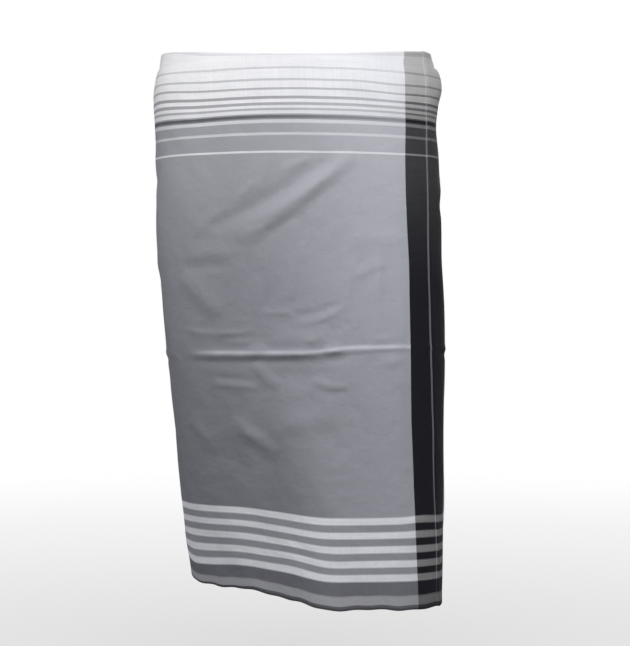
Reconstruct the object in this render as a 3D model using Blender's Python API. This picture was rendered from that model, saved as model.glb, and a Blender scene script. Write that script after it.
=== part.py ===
"""Longyi: a sewn tube of striped cotton, worn hollow from the waist to the ankles.

Metres, +Z up. The front faces -Y and X runs to its right. The origin is the middle of the waist
opening, at the height of the front waist edge, where the wearer holds the cloth up.

The cloth is measured in two ways: "round" is the distance round the tube from the seam, across the
front, round the left side, over the back and home again, and "drop" is the distance down the cloth
from the front waist edge.
"""
import math
from collections import namedtuple

import bmesh
import bpy
import numpy as np

# Cut of the cloth
GIRTH = 1.950            # round the sewn tube
DROP = 0.948             # front waist edge to the hem
WALL = 0.0012            # thickness of the cloth in one layer
SEAM_GAP = 0.0003        # clearance between neighbouring solids

# Waist
TURN_DEPTH = 0.046       # how far the cloth is turned in below the waist edge
TURN_RADIUS = 0.0030     # of the innermost layer over the waist edge
SIDE_RISE = 0.009        # the waist edge stands higher at the sides and the back
SIDE_SAG = 0.013         # the cloth hangs lower at the sides, just below the waist
SAG_REACH = 0.30         # drop at which that sag has faded

# Lap that takes up the spare width on the back
LAP_FOLD = 0.165         # visible fold, measured from the seam the short way round
LAP_PITCH = 0.0034       # distance between its three layers
LAP_START = 0.008        # the outer layer starts to lift this far behind the left side

# Stretches of the cloth, as distances round the tube
BAND_FRONT = 0.044       # front edge of the black band
BAND_BACK = 0.062        # its back edge, the other way from the seam
LEFT_SIDE = 0.575        # middle of the left side
LEFT_JOIN = 0.560        # join of the front and back stretches, just before it

# Left side of the lower part, which hangs further back than the right
STEP_EDGE = 0.045        # X of the soft ridge where the cloth starts to fall back
STEP_SOFTNESS = 0.16     # of that ridge, as a share of the way to the left side
STEP_CURVE = 1.2         # how quickly the falling back is used up
BACK_SHARE = 0.55        # share of the set-back that the rear of the tube takes
LEFT_LIFT = 0.020        # the hem is drawn up by this much on the left
LIFT_START = 0.55        # drop at which the lifting starts
LIFT_X = (-0.110, 0.060) # it comes in between these places across the front
CORNER_LIFT = 0.024      # drawn up further round the left side
CORNER_START = 0.84      # drop at which that starts
CORNER_RUN = 0.085       # length round the side over which it comes in

# Seam allowance
ALLOWANCE = 0.011        # width of the felled strip

# Fineness of the solids
PLAN_STEPS = 180         # points along each quarter of a plan
NORMAL_REACH = 0.004     # half the run over which the outline's direction is read
FOLD_POINTS = 12         # steps along a fold's curve

# Plan of the tube at each drop. left and right are measured from the centre line, front and back are
# its depths, set_back is how far the left side falls back and seam is the X of the sewn seam.
Section = namedtuple("Section", "drop left right front back set_back seam")
SECTIONS = (
    Section(0.000, 0.2360, 0.2350, 0.126, 0.122, 0.000, 0.2215),
    Section(0.012, 0.2400, 0.2430, 0.131, 0.124, 0.000, 0.2240),
    Section(0.028, 0.2440, 0.2520, 0.136, 0.127, 0.000, 0.2260),
    Section(0.045, 0.2475, 0.2520, 0.140, 0.130, 0.000, 0.2265),
    Section(0.068, 0.2490, 0.2465, 0.143, 0.133, 0.000, 0.2265),
    Section(0.110, 0.2475, 0.2445, 0.145, 0.136, 0.000, 0.2270),
    Section(0.170, 0.2460, 0.2455, 0.145, 0.139, 0.000, 0.2285),
    Section(0.260, 0.2460, 0.2520, 0.143, 0.140, 0.000, 0.2300),
    Section(0.340, 0.2430, 0.2540, 0.141, 0.137, 0.002, 0.2310),
    Section(0.430, 0.2350, 0.2585, 0.140, 0.132, 0.009, 0.2330),
    Section(0.515, 0.2285, 0.2615, 0.140, 0.127, 0.020, 0.2350),
    Section(0.600, 0.2185, 0.2590, 0.140, 0.123, 0.035, 0.2380),
    Section(0.690, 0.2120, 0.2585, 0.140, 0.120, 0.057, 0.2405),
    Section(0.780, 0.2030, 0.2590, 0.140, 0.118, 0.084, 0.2430),
    Section(0.860, 0.1940, 0.2585, 0.140, 0.117, 0.112, 0.2450),
    Section(0.948, 0.1850, 0.2565, 0.140, 0.116, 0.142, 0.2465),
)

# How square each corner of the plan is: 2 is an ellipse and more is squarer
CORNERS = {"front_right": 3.5, "front_left": 2.7, "back_left": 2.3, "back_right": 2.4}

# Folds on the front: soft ridges (height above zero) and troughs (below zero), each a curve from one
# point through its middle to the other, in X and drop, with its half width and its height.
Fold = namedtuple("Fold", "x1 drop1 mid_x mid_drop x2 drop2 width height")
FRONT_FOLDS = (
    Fold(-0.105, 0.287, -0.025, 0.245, 0.070, 0.175, 0.021, 0.0062),
    Fold(-0.125, 0.275, -0.060, 0.228, 0.010, 0.190, 0.018, -0.0048),
    Fold(-0.090, 0.325, -0.035, 0.295, 0.035, 0.230, 0.019, -0.0042),
    Fold(-0.190, 0.513, 0.000, 0.514, 0.190, 0.508, 0.011, 0.0036),
    Fold(-0.190, 0.531, 0.000, 0.532, 0.190, 0.526, 0.011, -0.0030),
    Fold(-0.060, 0.440, -0.010, 0.455, 0.080, 0.418, 0.016, 0.0042),
    Fold(-0.070, 0.470, 0.000, 0.478, 0.085, 0.445, 0.015, -0.0036),
    Fold(-0.105, 0.628, -0.062, 0.650, -0.030, 0.690, 0.020, 0.0050),
    Fold(-0.120, 0.660, -0.070, 0.700, 0.020, 0.760, 0.024, -0.0040),
    Fold(-0.195, 0.360, -0.165, 0.410, -0.125, 0.455, 0.022, -0.0035),
)

# Folds on the back, in the same terms
BACK_FOLDS = (
    Fold(-0.170, 0.200, -0.080, 0.245, 0.030, 0.250, 0.024, 0.0040),
    Fold(-0.150, 0.250, -0.060, 0.290, 0.050, 0.300, 0.020, -0.0030),
    Fold(-0.180, 0.513, 0.000, 0.514, 0.190, 0.508, 0.011, 0.0026),
    Fold(0.150, 0.560, 0.100, 0.640, 0.060, 0.760, 0.022, 0.0032),
    Fold(-0.140, 0.620, -0.110, 0.720, -0.100, 0.860, 0.024, -0.0034),
)
FACING = (0.20, 0.70)    # folds fade in between these shares of facing the front or the back
FOLD_START = 0.050       # and over this drop below the waist turn
HEM_WAVE = 0.0025        # depth of the slow waves along the hem
HEM_WAVES = 7            # round the tube
HEM_WAVE_START = 0.62

# Parts of each stretch from waist to hem, with the drops of their edges and of the rows in between.
# They meet where the weave changes, and in the crease across the middle.
Part = namedtuple("Part", "name start end rows")
PARTS = (
    Part("waist_border", 0.000, 0.168, (0.025, 0.050, 0.075, 0.105, 0.135)),
    Part("upper_field", 0.168, 0.522, (0.200, 0.230, 0.260, 0.290, 0.330, 0.370, 0.415, 0.455, 0.485,
                                       0.5125)),
    Part("lower_field", 0.522, 0.790, (0.531, 0.570, 0.615, 0.655, 0.700, 0.745)),
    Part("hem_border", 0.790, DROP, (0.830, 0.870, 0.910)),
)
TURN_STEPS = 4           # facets over the waist edge
INNER_ROWS = 2           # rows of the turned-in cloth
FOLD_STEPS = 4           # facets round each fold of the lap

# Width of the facets along the cloth, and how many the lap has
FRONT_PITCH = 0.0180
CORNER_PITCH = 0.0125
BAND_PITCH = 0.0115
LEFT_CORNER = 0.100      # length of the finer facets round the left side
LAP_CLEAR = 0.016        # the outer layer is clear this far before the inner fold
LAP_APPROACH = 8
LAP_FACETS = 8
RIGHT_FACETS = 9

COLOURS = {
    "grey_cotton": (0.27, 0.27, 0.30),
    "black_cotton": (0.020, 0.020, 0.024),
}
COTTON_ROUGHNESS = 0.86


def smooth_step(value, start, end):
    """Rise from 0 at start to 1 at end, level at both."""
    t = min(max((value - start) / (end - start), 0.0), 1.0)
    return t * t * (3.0 - 2.0 * t)


def section_value(name, drop):
    """Read one column of the section table on a smooth curve through its rows."""
    drops = [row.drop for row in SECTIONS]
    values = [getattr(row, name) for row in SECTIONS]
    drop = min(max(drop, drops[0]), drops[-1])
    i = max(k for k in range(len(drops) - 1) if drops[k] <= drop)
    step = drops[i + 1] - drops[i]
    t = (drop - drops[i]) / step

    def slope(k):
        low, high = max(k - 1, 0), min(k + 1, len(drops) - 1)
        return (values[high] - values[low]) / (drops[high] - drops[low]) * step

    rise = values[i + 1] - values[i]
    a = slope(i) - rise
    b = rise - slope(i + 1)
    return values[i] + t * rise + t * (1.0 - t) * (a * (1.0 - t) + b * t)


def set_back_share(x, left):
    """How much of the set-back a point takes: none right of the ridge, all at the left side."""
    t = (STEP_EDGE - x) / (STEP_EDGE + left)
    t = 0.5 * (t + math.sqrt(t * t + STEP_SOFTNESS * STEP_SOFTNESS))
    return (1.0 - math.exp(-STEP_CURVE * t)) / (1.0 - math.exp(-STEP_CURVE))


class Plan:
    """Outline of the tube at one drop, walked from the seam across the front."""

    def __init__(self, drop):
        self.left = section_value("left", drop)
        self.right = section_value("right", drop)
        front = section_value("front", drop)
        back = section_value("back", drop)
        set_back = section_value("set_back", drop)
        seam_x = section_value("seam", drop)
        quarters = (
            (CORNERS["front_right"], self.right, -front, False),
            (CORNERS["front_left"], -self.left, -front, True),
            (CORNERS["back_left"], -self.left, back, False),
            (CORNERS["back_right"], self.right, back, True),
        )
        points = []
        for squareness, side, depth, leaving_middle in quarters:
            for k in range(PLAN_STEPS):
                turn = 1.0 - k / PLAN_STEPS if leaving_middle else k / PLAN_STEPS
                x = side * math.cos(0.5 * math.pi * turn) ** (2.0 / squareness)
                y = depth * math.sin(0.5 * math.pi * turn) ** (2.0 / squareness)
                level = 0.5 - 0.5 * y / abs(depth)
                share = BACK_SHARE + (1.0 - BACK_SHARE) * level
                points.append((x, y + share * set_back * set_back_share(x, self.left)))
        first = next(k for k, (x, y) in enumerate(points) if x <= seam_x)
        (x1, y1), (x2, y2) = points[first - 1], points[first]
        seam = (seam_x, y1 + (y2 - y1) * (x1 - seam_x) / (x1 - x2))
        self.points = np.array([seam] + points[first:] + points[:first] + [seam])
        steps = np.diff(self.points, axis=0)
        self.along = np.concatenate([[0.0], np.cumsum(np.hypot(steps[:, 0], steps[:, 1]))])
        self.length = self.along[-1]

    def point(self, distance):
        """Where the outline is after a distance from the seam."""
        distance = distance % self.length
        return np.array([np.interp(distance, self.along, self.points[:, k]) for k in (0, 1)])

    def outward(self, distance):
        """Direction that points out of the tube there."""
        dx, dy = self.point(distance + NORMAL_REACH) - self.point(distance - NORMAL_REACH)
        return np.array([-dy, dx]) / math.hypot(dx, dy)


def fold_line(fold):
    """Points along a fold's curve, with the share of its length reached at each."""
    line = []
    for k in range(FOLD_POINTS + 1):
        t = k / FOLD_POINTS
        a, b, c = (1.0 - t) * (1.0 - 2.0 * t), 4.0 * t * (1.0 - t), t * (2.0 * t - 1.0)
        line.append((a * fold.x1 + b * fold.mid_x + c * fold.x2,
                     a * fold.drop1 + b * fold.mid_drop + c * fold.drop2))
    return np.array(line)


def fold_height(folds, x, drop):
    """Sum of the ridges and troughs at a point of the cloth."""
    total = 0.0
    for fold, line in folds:
        start, step = line[:-1], np.diff(line, axis=0)
        away = np.array([x, drop]) - start
        t = np.clip((away * step).sum(axis=1) / (step * step).sum(axis=1), 0.0, 1.0)
        distance = np.hypot(*(away - t[:, None] * step).T)
        nearest = int(np.argmin(distance))
        along = (nearest + t[nearest]) / FOLD_POINTS
        fade = 1.0 - (2.0 * along - 1.0) ** 4
        total += fold.height * fade * math.exp(-(distance[nearest] / fold.width) ** 2)
    return total


FRONT_LINES = [(fold, fold_line(fold)) for fold in FRONT_FOLDS]
BACK_LINES = [(fold, fold_line(fold)) for fold in BACK_FOLDS]


def relief(x, outward, drop, around):
    """How far the cloth stands off its plain form."""
    faces_front = smooth_step(-outward[1], *FACING)
    faces_back = smooth_step(outward[1], *FACING)
    total = 0.0
    if faces_front > 0.0:
        total += faces_front * fold_height(FRONT_LINES, x, drop)
    if faces_back > 0.0:
        total += faces_back * fold_height(BACK_LINES, x, drop)
    total *= smooth_step(drop, TURN_DEPTH, TURN_DEPTH + FOLD_START)
    wave = HEM_WAVE * smooth_step(drop, HEM_WAVE_START, DROP)
    return total + wave * math.sin(2.0 * math.pi * HEM_WAVES * around)


def side_share(x, y, plan):
    """0 at the middle of the front, 1 at the sides and over the back."""
    if y > 0.0:
        return 1.0
    return min(x / (plan.right if x > 0.0 else plan.left), 1.0) ** 2


def lift(x, drop, distance):
    """How far the cloth is drawn up on the left."""
    left = 1.0 - smooth_step(x, *LIFT_X)
    corner = left * smooth_step(distance, LEFT_SIDE - CORNER_RUN, LEFT_SIDE)
    return (LEFT_LIFT * left * smooth_step(drop, LIFT_START, DROP)
            + CORNER_LIFT * corner * smooth_step(drop, CORNER_START, DROP))


def cloth_point(plan, drop, distance, layer, turned):
    """A point of the cloth's middle surface.

    layer is how far it lies outside the innermost layer of the lap. turned is None on the outside,
    an angle over the waist edge, or a distance down the turned-in cloth given as a negative number.
    """
    base = plan.point(distance)
    outward = plan.outward(distance)
    side = side_share(base[0], base[1], plan)
    edge = SIDE_RISE * side - TURN_RADIUS
    if turned is None:
        sag = SIDE_SAG * side * (1.0 - smooth_step(drop, 0.0, SAG_REACH))
        off = layer + relief(base[0], outward, drop, distance / plan.length)
        height = -drop - sag + lift(base[0], drop, distance)
    elif turned >= 0.0:
        radius = layer + TURN_RADIUS
        off = radius * math.cos(turned) - TURN_RADIUS
        height = edge + radius * math.sin(turned)
    else:
        off = -layer - 2.0 * TURN_RADIUS
        height = edge + turned
    x, y = base + off * outward
    return x, y, height


def part_rows(part):
    """Rows of one part from its lower edge up, as a drop and a place in the waist turn."""
    half_gap = 0.5 * SEAM_GAP
    lower_edge = part.end if part.end == DROP else part.end - half_gap
    outside = [(lower_edge, None)] + [(drop, None) for drop in reversed(part.rows)]
    if part.start > 0.0:
        return outside + [(part.start + half_gap, None)]
    over = [(0.0, math.pi * k / TURN_STEPS) for k in range(TURN_STEPS + 1)]
    inside = [(0.0, -TURN_DEPTH * k / INNER_ROWS) for k in range(1, INNER_ROWS + 1)]
    return outside + over + inside


def seam_rows():
    """Rows of the seam allowance, from the hem to the waist edge."""
    drops = [drop for part in PARTS for drop in (*part.rows, part.end)]
    return [(drop, None) for drop in reversed(drops)]


def spaced(start, end, pitch):
    """Even places from start to end, about a pitch apart."""
    count = max(1, round(abs(end - start) / pitch))
    return [start + (end - start) * k / count for k in range(count + 1)]


def straight_columns(places):
    """Columns that stay the same distance from the seam all the way down."""
    return lambda plan: [(place, 0.0) for place in places]


def lap_columns(plan):
    """Columns of the back: its outer layer, the visible fold, the middle and the inner layer.

    The lap is deeper where the tube is slimmer, so that the girth of the cloth is the same all the
    way down.
    """
    depth = 0.5 * (GIRTH - plan.length)
    fold = plan.length - LAP_FOLD
    inner_fold = fold - depth
    clear = inner_fold - LAP_CLEAR
    start = LEFT_JOIN + 0.5 * SEAM_GAP
    columns = []
    for k in range(LAP_APPROACH + 1):
        place = start + (clear - start) * k / LAP_APPROACH
        rise = smooth_step(place, LEFT_SIDE + LAP_START, clear)
        columns.append((place, 2.0 * LAP_PITCH * rise))
    for k in range(1, LAP_FACETS + 1):
        columns.append((clear + (fold - clear) * k / LAP_FACETS, 2.0 * LAP_PITCH))
    for k in range(1, FOLD_STEPS):
        angle = math.pi * k / FOLD_STEPS
        columns.append((fold + 0.5 * LAP_PITCH * math.sin(angle),
                        LAP_PITCH * (1.5 + 0.5 * math.cos(angle))))
    for k in range(LAP_FACETS + 1):
        columns.append((fold - depth * k / LAP_FACETS, LAP_PITCH))
    for k in range(1, FOLD_STEPS):
        angle = math.pi * k / FOLD_STEPS
        columns.append((inner_fold - 0.5 * LAP_PITCH * math.sin(angle),
                        LAP_PITCH * (0.5 + 0.5 * math.cos(angle))))
    for k in range(LAP_FACETS + 1):
        columns.append((inner_fold + depth * k / LAP_FACETS, 0.0))
    end = plan.length - BAND_BACK - 0.5 * SEAM_GAP
    for k in range(1, RIGHT_FACETS + 1):
        columns.append((fold + (end - fold) * k / RIGHT_FACETS, 0.0))
    return columns


def cotton(name):
    """Plain cotton in one of the cloth's colours."""
    material = bpy.data.materials.get(name)
    if material is None:
        material = bpy.data.materials.new(name)
        material.use_nodes = True
        shader = material.node_tree.nodes["Principled BSDF"]
        shader.inputs["Base Color"].default_value = (*COLOURS[name], 1.0)
        shader.inputs["Roughness"].default_value = COTTON_ROUGHNESS
        shader.inputs["Metallic"].default_value = 0.0
    return material


def cloth_wall(name, columns, row_list, colour, back_off=0.0):
    """Make one stretch of cloth: a grid shaped on the tube and given its thickness."""
    plans = [Plan(drop) for drop, turned in row_list]
    laid_out = [columns(plan) for plan in plans]
    across, down = len(laid_out[0]) - 1, len(row_list) - 1
    mesh = bpy.data.meshes.new(name)
    grid = bmesh.new()
    bmesh.ops.create_grid(grid, x_segments=across, y_segments=down, size=1.0)
    for vert in grid.verts:
        i = round(0.5 * (1.0 - vert.co.x) * across)
        j = round(0.5 * (vert.co.y + 1.0) * down)
        drop, turned = row_list[j]
        distance, layer = laid_out[j][i]
        vert.co = cloth_point(plans[j], drop, distance, layer + back_off, turned)
    grid.to_mesh(mesh)
    grid.free()
    mesh.shade_smooth()
    mesh.materials.append(cotton(colour))
    wall = bpy.data.objects.new(name, mesh)
    bpy.context.collection.objects.link(wall)
    thickness = wall.modifiers.new("cloth", "SOLIDIFY")
    thickness.thickness = WALL
    thickness.offset = 0.0
    thickness.use_even_offset = True


def main():
    for old in list(bpy.data.objects):
        bpy.data.objects.remove(old, do_unlink=True)

    half_gap = 0.5 * SEAM_GAP
    corner = LEFT_JOIN - LEFT_CORNER
    front = spaced(BAND_FRONT + half_gap, corner, FRONT_PITCH)
    front += spaced(corner, LEFT_JOIN - half_gap, CORNER_PITCH)[1:]
    seam = 0.5 * ALLOWANCE
    band = spaced(-BAND_BACK + half_gap, -seam, BAND_PITCH) + [0.0]
    band += spaced(seam, BAND_FRONT - half_gap, BAND_PITCH)

    for part in PARTS:
        row_list = part_rows(part)
        cloth_wall("front_" + part.name, straight_columns(front), row_list, "grey_cotton")
        cloth_wall("band_" + part.name, straight_columns(band), row_list, "black_cotton")
        cloth_wall("back_" + part.name, lap_columns, row_list, "grey_cotton")
    cloth_wall("side_seam", straight_columns([-seam, 0.0, seam]), seam_rows(), "black_cotton",
               back_off=-(WALL + SEAM_GAP))


if __name__ == "__main__":
    main()
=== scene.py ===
import math
from collections import namedtuple

import bmesh
import bpy
import numpy as np
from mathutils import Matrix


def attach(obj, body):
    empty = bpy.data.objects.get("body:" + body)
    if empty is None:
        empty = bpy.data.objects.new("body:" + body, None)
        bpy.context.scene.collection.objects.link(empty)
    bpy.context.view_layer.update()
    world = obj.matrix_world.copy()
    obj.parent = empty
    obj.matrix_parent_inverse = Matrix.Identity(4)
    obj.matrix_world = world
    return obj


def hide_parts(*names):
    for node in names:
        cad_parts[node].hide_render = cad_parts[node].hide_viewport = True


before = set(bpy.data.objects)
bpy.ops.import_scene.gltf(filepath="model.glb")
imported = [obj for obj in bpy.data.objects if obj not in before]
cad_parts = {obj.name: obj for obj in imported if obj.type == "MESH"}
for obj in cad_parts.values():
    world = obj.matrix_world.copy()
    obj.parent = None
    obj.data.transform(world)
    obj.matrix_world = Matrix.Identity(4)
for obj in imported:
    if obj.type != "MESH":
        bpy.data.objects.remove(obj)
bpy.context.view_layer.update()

# Cut of the cloth
GIRTH = 1.950            # round the sewn tube
DROP = 0.948             # front waist edge to the hem
CLOTH = 0.0009           # thickness of one layer

# Waist
TURN_DEPTH = 0.046       # how far the cloth is turned in below the waist edge
TURN_RADIUS = 0.0030
SIDE_RISE = 0.009        # the waist edge stands higher at the sides and the back
SIDE_SAG = 0.013         # the cloth hangs lower at the sides, just below the waist
SAG_REACH = 0.30

# Lap that takes up the spare width on the back
LAP_FOLD = 0.165         # visible fold, measured from the seam the short way round
LAP_PITCH = 0.0034       # distance between its three layers
LAP_START = 0.008
LAP_CLEAR = 0.016

# Stretches of cloth, as distances round the tube
BAND_FRONT = 0.044       # front edge of the black band
BAND_BACK = 0.062        # its back edge, the other way from the seam
LEFT_SIDE = 0.575        # middle of the left side

# Left side of the lower part, which hangs further back than the right
STEP_EDGE = 0.045        # the set-back starts about here in X
STEP_SOFTNESS = 0.16
STEP_CURVE = 1.2
BACK_SHARE = 0.55        # share of the set-back that the back takes
LEFT_LIFT = 0.020        # the cloth is drawn up on the left
LIFT_START = 0.55
LIFT_X = (-0.110, 0.060)
CORNER_LIFT = 0.024      # and more at the corner of its hem
CORNER_START = 0.84
CORNER_RUN = 0.085
RIGHT_FALL = 0.0048      # the last edge hangs lower from the middle to the right
FALL_START = 0.905
FALL_X = (-0.010, 0.060)

# Felled seam
SEAM_STEP = 0.0009       # the back panel's edge lies this far over the front panel
STITCH_PITCH = 0.0042
STITCH_LENGTH = 0.0031
STITCH_THICK = 0.00042
STITCH_START = 0.005     # drop of the first stitch
STITCH_ROUND = -0.0052   # place of the row of stitches, round from the seam
UNDER_EDGE = ((-0.0040, -0.0003), (0.0, -0.0002), (0.0020, 0.0))     # place round, and layer
OVER_EDGE = (-0.0120, -0.0095, -0.0052, -0.0012, 0.0010)
OVER_RISE = (-0.0125, -0.0090)
OVER_START = -0.014      # where the back panel leaves the body for the seam
# the felled strip across its width: place round from the seam, and depth behind the cloth
STRIP = ((-0.0060, -0.0013), (-0.0052, -0.0020), (-0.0020, -0.0022), (0.0020, -0.0022),
         (0.0052, -0.0020), (0.0060, -0.0013))
STRIP_SHIFT = -0.02      # it is cut from plain black cloth beside the pale line

# Plan of the tube at each drop, in the same terms as the solids
Section = namedtuple("Section", "drop left right front back set_back seam")
SECTIONS = (
    Section(0.000, 0.2372, 0.2370, 0.126, 0.122, 0.000, 0.2215),
    Section(0.006, 0.2418, 0.2462, 0.1285, 0.123, 0.000, 0.2228),
    Section(0.012, 0.2444, 0.2508, 0.131, 0.124, 0.000, 0.2240),
    Section(0.028, 0.2475, 0.2550, 0.136, 0.127, 0.000, 0.2260),
    Section(0.045, 0.2500, 0.2555, 0.140, 0.130, 0.000, 0.2265),
    Section(0.068, 0.2500, 0.2500, 0.143, 0.133, 0.000, 0.2265),
    Section(0.110, 0.2485, 0.2455, 0.145, 0.136, 0.000, 0.2270),
    Section(0.170, 0.2455, 0.2505, 0.145, 0.139, 0.000, 0.2285),
    Section(0.260, 0.2460, 0.2545, 0.143, 0.140, 0.000, 0.2300),
    Section(0.340, 0.2425, 0.2560, 0.141, 0.137, 0.002, 0.2310),
    Section(0.430, 0.2350, 0.2595, 0.140, 0.132, 0.009, 0.2330),
    Section(0.515, 0.2285, 0.2615, 0.140, 0.127, 0.020, 0.2350),
    Section(0.600, 0.2185, 0.2590, 0.140, 0.123, 0.035, 0.2380),
    Section(0.690, 0.2120, 0.2585, 0.140, 0.120, 0.057, 0.2405),
    Section(0.780, 0.2040, 0.2600, 0.140, 0.118, 0.084, 0.2430),
    Section(0.860, 0.1970, 0.2600, 0.140, 0.117, 0.112, 0.2450),
    Section(0.948, 0.1885, 0.2590, 0.140, 0.116, 0.142, 0.2465),
)
CORNERS = {"front_right": 3.5, "front_left": 2.7, "back_left": 2.3, "back_right": 2.4}

# Folds: soft ridges (height above zero) and troughs (below zero), each a curve from one point through
# its middle to the other, in X (or in distance round the tube) and drop.
Fold = namedtuple("Fold", "x1 drop1 mid_x mid_drop x2 drop2 width height")
FRONT_FOLDS = (
    # the long slanting fold, from high on the left up to the right of the waist
    Fold(-0.1007, 0.3184, -0.0039, 0.2595, 0.1018, 0.1679, 0.0130, 0.0062),
    Fold(-0.0807, 0.2877, -0.0176, 0.2578, 0.0784, 0.1896, 0.0070, 0.0030),
    Fold(-0.1476, 0.2988, -0.0483, 0.2485, 0.0656, 0.1751, 0.0130, -0.0046),
    Fold(-0.0197, 0.1999, 0.0016, 0.1888, 0.0259, 0.1828, 0.0065, 0.0018),
    Fold(-0.0964, 0.2489, -0.0772, 0.2297, -0.0551, 0.2190, 0.0075, 0.0019),
    Fold(-0.1753, 0.3141, -0.1540, 0.2902, -0.1250, 0.2723, 0.0085, 0.0017),
    Fold(-0.0474, 0.3099, -0.0227, 0.2928, 0.0046, 0.2749, 0.0085, -0.0018),
    Fold(0.0114, 0.2638, 0.0336, 0.2476, 0.0549, 0.2297, 0.0085, -0.0016),
    # slack high on the left
    Fold(-0.1987, 0.3768, -0.1668, 0.4096, -0.1276, 0.4480, 0.0160, 0.0042),
    Fold(-0.1983, 0.3631, -0.1540, 0.3636, -0.1092, 0.3606, 0.0080, -0.0024),
    Fold(-0.1966, 0.3457, -0.1540, 0.3427, -0.1114, 0.3363, 0.0140, 0.0022),
    Fold(-0.0674, 0.3810, -0.0670, 0.4130, -0.0666, 0.4493, 0.0060, 0.0019),
    # faint upright creases
    Fold(-0.0504, 0.1743, -0.0504, 0.1956, -0.0504, 0.2190, 0.0060, 0.0018),
    Fold(-0.0491, 0.3192, -0.0487, 0.3704, -0.0487, 0.4216, 0.0060, 0.0019),
    Fold(-0.0056, 0.3533, -0.0052, 0.3874, -0.0052, 0.4258, 0.0060, 0.0019),
    Fold(0.0933, 0.3491, 0.0937, 0.3832, 0.0933, 0.4216, 0.0070, 0.0015),
    Fold(0.1415, 0.3384, 0.1436, 0.3789, 0.1444, 0.4258, 0.0085, 0.0021),
    Fold(0.0912, 0.3819, 0.1167, 0.3721, 0.1453, 0.3533, 0.0080, 0.0018),
    Fold(0.0848, 0.3158, 0.1359, 0.3184, 0.1871, 0.3158, 0.0200, 0.0018),
    # curved folds above the pressed crease
    Fold(-0.0581, 0.4429, -0.0303, 0.4437, -0.0056, 0.4420, 0.0055, 0.0018),
    Fold(0.0003, 0.4463, 0.0379, 0.4412, 0.0796, 0.4224, 0.0055, -0.0016),
    Fold(0.0046, 0.4586, 0.0430, 0.4557, 0.0912, 0.4279, 0.0055, 0.0017),
    Fold(0.0549, 0.4736, 0.0762, 0.4676, 0.0882, 0.4565, 0.0085, -0.0014),
    # pressed crease straight across, where the cloth was folded for the shelf
    Fold(-0.1880, 0.5150, -0.0850, 0.5160, 0.0450, 0.5120, 0.0075, 0.0042),
    Fold(-0.0550, 0.5140, 0.0200, 0.5128, 0.0850, 0.5085, 0.0065, 0.0022),
    Fold(-0.0400, 0.4880, 0.0100, 0.4900, 0.0600, 0.4870, 0.0160, 0.0030),
    Fold(-0.0450, 0.5480, 0.0100, 0.5500, 0.0700, 0.5460, 0.0180, -0.0034),
    Fold(-0.2000, 0.5265, -0.1100, 0.5275, -0.0550, 0.5262, 0.0070, -0.0012),
    Fold(-0.0580, 0.5275, 0.0300, 0.5270, 0.0980, 0.5215, 0.0085, -0.0018),
    Fold(0.0520, 0.5100, 0.1200, 0.5068, 0.2060, 0.5010, 0.0048, 0.0020),
    # small folds over the pressed crease and under it
    Fold(0.0455, 0.5051, 0.0634, 0.5068, 0.0814, 0.5026, 0.0090, 0.0032),
    Fold(0.0157, 0.4898, 0.0255, 0.4910, 0.0362, 0.4923, 0.0055, 0.0019),
    Fold(0.1282, 0.4898, 0.1466, 0.4885, 0.1666, 0.4864, 0.0065, 0.0013),
    Fold(0.1444, 0.5281, 0.1636, 0.5269, 0.1820, 0.5247, 0.0085, 0.0015),
    Fold(-0.0849, 0.5068, -0.0645, 0.5077, -0.0465, 0.5034, 0.0100, 0.0040),
    Fold(-0.0696, 0.5281, -0.0517, 0.5520, -0.0252, 0.5699, 0.0095, 0.0036),
    # short creases beside it
    Fold(-0.1932, 0.4719, -0.1327, 0.4795, -0.0674, 0.4731, 0.0050, 0.0021),
    Fold(-0.1480, 0.4876, -0.1369, 0.4868, -0.1258, 0.4898, 0.0055, 0.0011),
    Fold(-0.1114, 0.4932, -0.0922, 0.4953, -0.0747, 0.4927, 0.0055, 0.0013),
    Fold(-0.1484, 0.5537, -0.1071, 0.5567, -0.0679, 0.5618, 0.0055, -0.0016),
    Fold(-0.1463, 0.5657, -0.1028, 0.5695, -0.0636, 0.5720, 0.0060, 0.0018),
    Fold(0.0259, 0.5558, 0.0549, 0.5678, 0.0933, 0.5691, 0.0065, 0.0020),
    Fold(0.0336, 0.5716, 0.0592, 0.5801, 0.0924, 0.5793, 0.0065, -0.0016),
    # folds low on the left
    Fold(-0.1045, 0.6253, -0.0708, 0.6629, -0.0252, 0.6876, 0.0120, 0.0050),
    Fold(-0.0483, 0.6467, 0.0165, 0.6296, 0.0754, 0.6117, 0.0190, 0.0030),
    Fold(-0.1582, 0.6773, -0.1114, 0.7029, -0.0559, 0.7221, 0.0260, -0.0026),
    Fold(-0.0900, 0.6492, -0.0687, 0.6582, -0.0440, 0.6603, 0.0070, 0.0026),
    Fold(-0.1838, 0.6305, -0.1600, 0.6586, -0.1344, 0.6927, 0.0100, 0.0018),
    Fold(0.0541, 0.6390, 0.0686, 0.6654, 0.0856, 0.6867, 0.0140, -0.0015),
    # the pressed edge beside the band
    Fold(0.178, 0.180, 0.181, 0.450, 0.184, 0.740, 0.020, 0.0012),
)

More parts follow.
